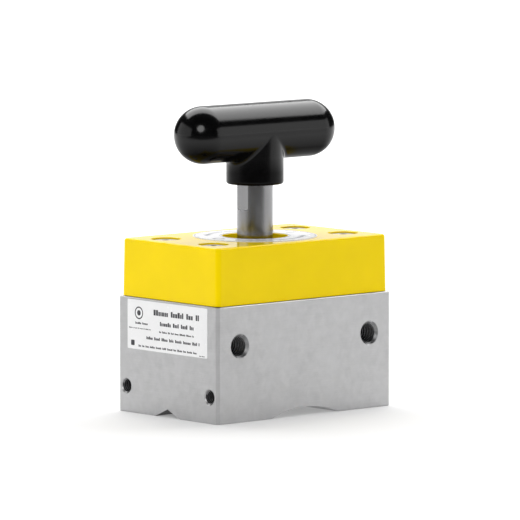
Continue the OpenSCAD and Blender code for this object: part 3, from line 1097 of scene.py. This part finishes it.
def word_row(bm, rng, left, right, y, height, place):
    """A row of blocks in place of a line of print: short strokes grouped into words."""
    x = left
    while x < right - LETTER_WIDTH / 2:
        letters = rng.integers(3, 8)
        for index in range(letters):
            width = LETTER_WIDTH * height * rng.uniform(0.55, 0.95)
            if x + width > right:
                break
            tall = height * (1 if index == 0 or rng.random() < TALL_LETTERS else LOW_LETTER)
            prism(bm, bar_outline(x, y - (height - tall) / 2, width, tall, 0.08), INK_HEIGHT, place)
            x += width + LETTER_GAP * height
        x += height * WORD_GAP


def finish_label(label, film_faces, node):
    """The first faces are film and the others ink. The label then stands in for its CAD node."""
    for index, face in enumerate(label.data.polygons):
        face.material_index = 0 if index < film_faces else 1
    stand_in(label, "base", node)


def make_side_label():
    low, high = extent("side_label")
    width = (high.y - low.y) / MM
    height = (high.z - low.z) / MM
    place = label_frame((high.x, high.y, low.z), (0, -1, 0), (0, 0, 1))
    bm = bmesh.new()
    prism(bm, bar_outline(0.02, height / 2 + 0.15, width - 0.04, height - 0.34, 0.35), FILM, place)
    film_faces = len(bm.faces)
    ink = place @ Matrix.Translation((0, 0, FILM))
    rng = np.random.default_rng(7)
    rows = [(0.33, 0.91, 0.21, 1.55), (0.41, 0.84, 0.42, 1.15), (0.40, 0.84, 0.58, 0.55),
            (0.24, 0.91, 0.725, 0.85), (0.14, 0.87, 0.90, 0.60), (0.02, 0.30, 0.56, 0.34),
            (0.10, 0.27, 0.455, 0.62), (0.90, 0.97, 0.945, 0.34)]
    for left, right, down, size in rows:
        word_row(bm, rng, left * width, right * width, (1 - down) * height, size, ink)
    emblem = (0.145 * width, 0.745 * height)
    ring_band(bm, emblem, 1.75, 1.40, INK_HEIGHT, ink)
    ring_band(bm, emblem, 0.75, 0.05, INK_HEIGHT, ink)
    prism(bm, bar_outline(0.045 * width, 0.145 * height, 1.5, 1.5, 0.3), INK_HEIGHT, ink)
    finish_label(new_object("side_label_print", bm, LABEL, INK), film_faces, "side_label")


def arrow_head(radius, angle, size, direction):
    """A triangle on a circle, pointing along it."""
    a = radians(angle)
    out = Vector((cos(a), sin(a)))
    along = Vector((-sin(a), cos(a))) * direction
    base = out * radius
    return [tuple(base + out * size * 0.6), tuple(base + along * size), tuple(base - out * size * 0.6)]


def make_dial_label():
    low, high = extent("dial_label")
    outer = high.x / MM
    inner = ring_radii("dial_label")[0] / MM
    place = label_frame((0, 0, low.z), (1, 0, 0), (0, 1, 0))
    bm = bmesh.new()
    revolve(bm, [(inner, 0), (outer, 0), (outer, FILM), (inner, FILM)], 144, place, closed=True)
    film_faces = len(bm.faces)
    ink = place @ Matrix.Translation((0, 0, FILM))
    middle = (inner + outer) / 2
    ring_band(bm, (0, 0), outer - 0.35, outer - 0.6, INK_HEIGHT, ink)
    ring_band(bm, (0, 0), inner + 0.6, inner + 0.35, INK_HEIGHT, ink)
    for start in (25, 205):
        prism(bm, arc_band(middle, 0.9, start, start + 105), INK_HEIGHT, ink)
        prism(bm, arrow_head(middle, start + 105, 2.6, 1), INK_HEIGHT, ink)
    for angle in range(0, 360, 15):
        if angle % 180:
            turn = Matrix.Rotation(radians(angle), 4, "Z")
            prism(bm, bar_outline(outer - 1.9, 0, 0.9, 0.28), INK_HEIGHT, ink @ turn)
    ring_band(bm, (-middle, 0), 1.7, 1.15, INK_HEIGHT, ink)
    prism(bm, bar_outline(middle - 1.7, 0, 3.4, 0.6, 0.15), INK_HEIGHT, ink)
    finish_label(new_object("dial_label_print", bm, LABEL, INK_GREY), film_faces, "dial_label")


# ---- CAD nodes that stay ----

def finish_cad_nodes():
    """Materials for the CAD nodes that are shown as they are."""
    finishes = {
        "cover_gasket": GASKET, "cover_dowels": PIN, "lock_ring": PIN, "lock_ring_screws": SCREW,
        "thrust_washer": WASHER, "stop_pin": PIN, "magnet_shim": BRASS, "lower_magnet": NICKEL,
        "magnet_key": PIN, "separator_disc": BRASS, "upper_magnet": NICKEL, "drive_hub": HUB,
        "drive_pins": PIN, "lock_pin": PIN, "grip_insert": BRASS}
    for node, material in finishes.items():
        mesh = frame["nodes"][node].data
        mesh.materials.clear()
        mesh.materials.append(material)


# ---- studio ----

def add_camera():
    """Returns the level directions to the picture's right and away from the camera."""
    forward = Vector((cos(VIEW_AZIMUTH) * cos(VIEW_PITCH), sin(VIEW_AZIMUTH) * cos(VIEW_PITCH),
                      -sin(VIEW_PITCH)))
    right = Vector((sin(VIEW_AZIMUTH), -cos(VIEW_AZIMUTH), 0))
    up = right.cross(forward)
    camera = add_object("camera", bpy.data.cameras.new("camera"))
    camera.data.sensor_width = SENSOR
    camera.data.lens = LENS
    camera.data.clip_end = 60
    camera.location = right * AIM_RIGHT + up * AIM_UP - forward * VIEW_DISTANCE
    camera.rotation_euler = Matrix((right, up, -forward)).transposed().to_euler()
    bpy.context.scene.camera = camera
    return right, Vector((forward.x, forward.y, 0)).normalized()


def area_light(name, width, depth, radiance, shape="RECTANGLE"):
    """A light that the camera doesn't see."""
    light = bpy.data.lights.new(name, "AREA")
    light.shape = shape
    light.size = width
    light.size_y = depth
    light.energy = radiance * pi * width * depth * (1 if shape == "RECTANGLE" else pi / 4)
    obj = add_object(name, light)
    obj.visible_camera = False
    return obj


def add_softbox(name, direction, distance, size, radiance, shape="RECTANGLE"):
    """An area light that faces the object from a direction."""
    obj = area_light(name, *size, radiance, shape)
    away = Vector(direction).normalized()
    obj.location = Vector((0, 0, SOFTBOX_AIM)) + away * distance
    obj.rotation_euler = away.to_track_quat("Z", "Y").to_euler()


def add_ceiling(right, back, across, behind, height, radiance):
    """A level softbox overhead. Its edges are given as slopes: sideways and backward per unit up."""
    obj = area_light("ceiling_back", (across[1] - across[0]) * height,
                     (behind[1] - behind[0]) * height, radiance)
    obj.rotation_euler = Matrix((right, -back, (0, 0, 1))).transposed().to_euler()
    obj.location = (right * sum(across) / 2 + back * sum(behind) / 2) * height
    obj.location.z = height + CEILING_BASE


def add_sky(direction, angle, strength):
    """An even light from far away. It lights paint and paper, and mirrors don't show it."""
    light = bpy.data.lights.new("sky", "SUN")
    light.angle = radians(angle)
    light.energy = strength
    obj = add_object("sky", light)
    obj.rotation_euler = Vector(direction).to_track_quat("Z", "Y").to_euler()
    obj.visible_glossy = False


def add_world(back):
    """A dim room with a pale patch of wall straight behind the object."""
    world = bpy.data.worlds.new("studio")
    bpy.context.scene.world = world
    world.use_nodes = True
    tree = world.node_tree
    background = next(n for n in tree.nodes if n.type == "BACKGROUND")
    background.inputs["Color"].default_value = (1, 1, 1, 1)
    coords = tree.nodes.new("ShaderNodeTexCoord")
    dot = tree.nodes.new("ShaderNodeVectorMath")
    dot.operation = "DOT_PRODUCT"
    dot.inputs[1].default_value = -back
    tree.links.new(coords.outputs["Generated"], dot.inputs[0])
    ramp = tree.nodes.new("ShaderNodeMapRange")
    limits = {"From Min": PATCH_FULL, "From Max": PATCH_END,
              "To Min": PATCH_STRENGTH, "To Max": ROOM_STRENGTH}
    for name, value in limits.items():
        ramp.inputs[name].default_value = value
    tree.links.new(dot.outputs["Value"], ramp.inputs["Value"])
    tree.links.new(ramp.outputs["Result"], background.inputs["Strength"])


def add_floor():
    bm = bmesh.new()
    corners = [bm.verts.new((x * FLOOR_REACH, y * FLOOR_REACH, block_low.z)) for x, y in
               ((-1, -1), (1, -1), (1, 1), (-1, 1))]
    bm.faces.new(corners)
    floor = new_object("floor", bm, floor_paper())


def add_flag(back):
    """A black card low in front, which keeps the paper's glare there off the gloss and the steel."""
    side = Vector((back.y, -back.x, 0))
    bm = bmesh.new()
    (near, near_half), (far, far_half) = FLAG_NEAR, FLAG_FAR
    corners = [-back * a + side * b + Vector((0, 0, FLAG_LIFT)) for a, b in
               ((near, -near_half), (near, near_half), (far, far_half), (far, -far_half))]
    bm.faces.new([bm.verts.new(c) for c in corners])
    flag = new_object("flag", bm, flag_felt())
    flag.visible_camera = False
    flag.visible_diffuse = False
    flag.visible_shadow = False


def add_studio():
    right, back = add_camera()
    above = Vector((0, 0, 1))
    add_world(back)
    add_ceiling(right, back, (-0.95, 1.3), (0.2, 1.75), 1.2, 4.3)
    add_softbox("key", -0.14 * right + 0.5 * above - 0.85 * back, 1.7, (0.8, 0.8), 5.2, "DISK")
    add_softbox("left_wall", -right - 0.1 * back, 2.0, (3.0, 2.4), 0.95)
    add_softbox("right_wall", right - 0.1 * back, 2.0, (1.6, 1.8), 1.25)
    add_sky(0.75 * above - 0.66 * back - 0.4 * right, 110, 0.6)
    add_floor()
    add_flag(back)
    bpy.context.scene.view_settings.view_transform = "Standard"


add_studio()
make_block()
make_cover()
make_screws()
make_dial_label()
make_side_label()
make_bush()
make_seal()
make_spring()
make_shaft()
make_grip()
finish_cad_nodes()
